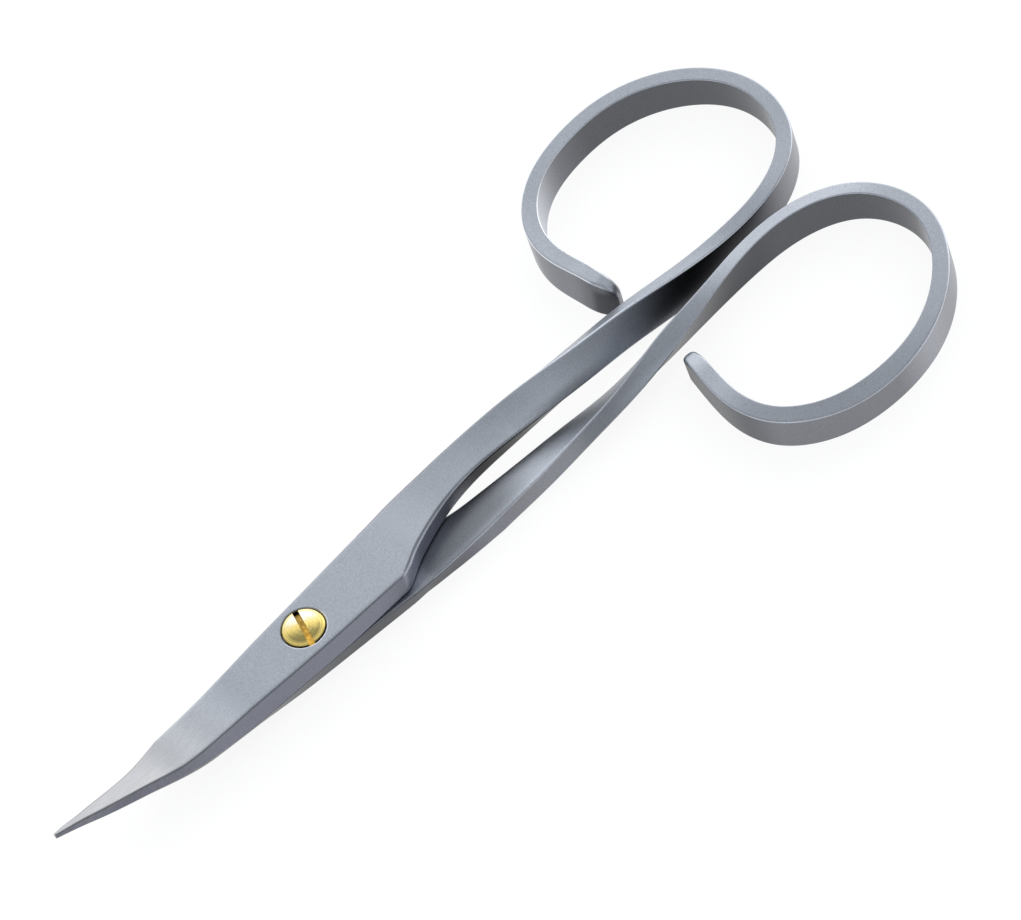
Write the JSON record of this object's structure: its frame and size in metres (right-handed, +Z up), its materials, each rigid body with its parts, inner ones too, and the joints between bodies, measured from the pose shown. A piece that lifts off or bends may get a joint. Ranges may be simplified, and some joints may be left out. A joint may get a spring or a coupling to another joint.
{
  "type": "nail scissors",
  "caption": "Curved nail scissors: slim blades with a raised tip, a slotted pivot screw, and twisted shanks bent round into open finger bows.",
  "frame": {"origin": "on the pivot axis, level with the lower half's flat underside, on which the scissors rest", "axes": "+X from the pivot towards the finger bows, +Y towards the upper half's bow, +Z up, towards the screw's head"},
  "size_m": [0.1002, 0.0457, 0.0074],
  "materials": {
    "satin_steel": "satin",
    "turned_brass": "turned and polished"
  },
  "bodies": {
    "lower": {"lower_half": "satin_steel", "pivot_screw": "turned_brass"},
    "upper": {"upper_half": "satin_steel"}
  },
  "joints": [
    {"name": "blade_pivot", "type": "hinge", "parent": "lower", "child": "upper", "pos_m": [0, 0, 0.00238], "axis": [0, 0, 1], "range_deg": [0, 60]}
  ]
}
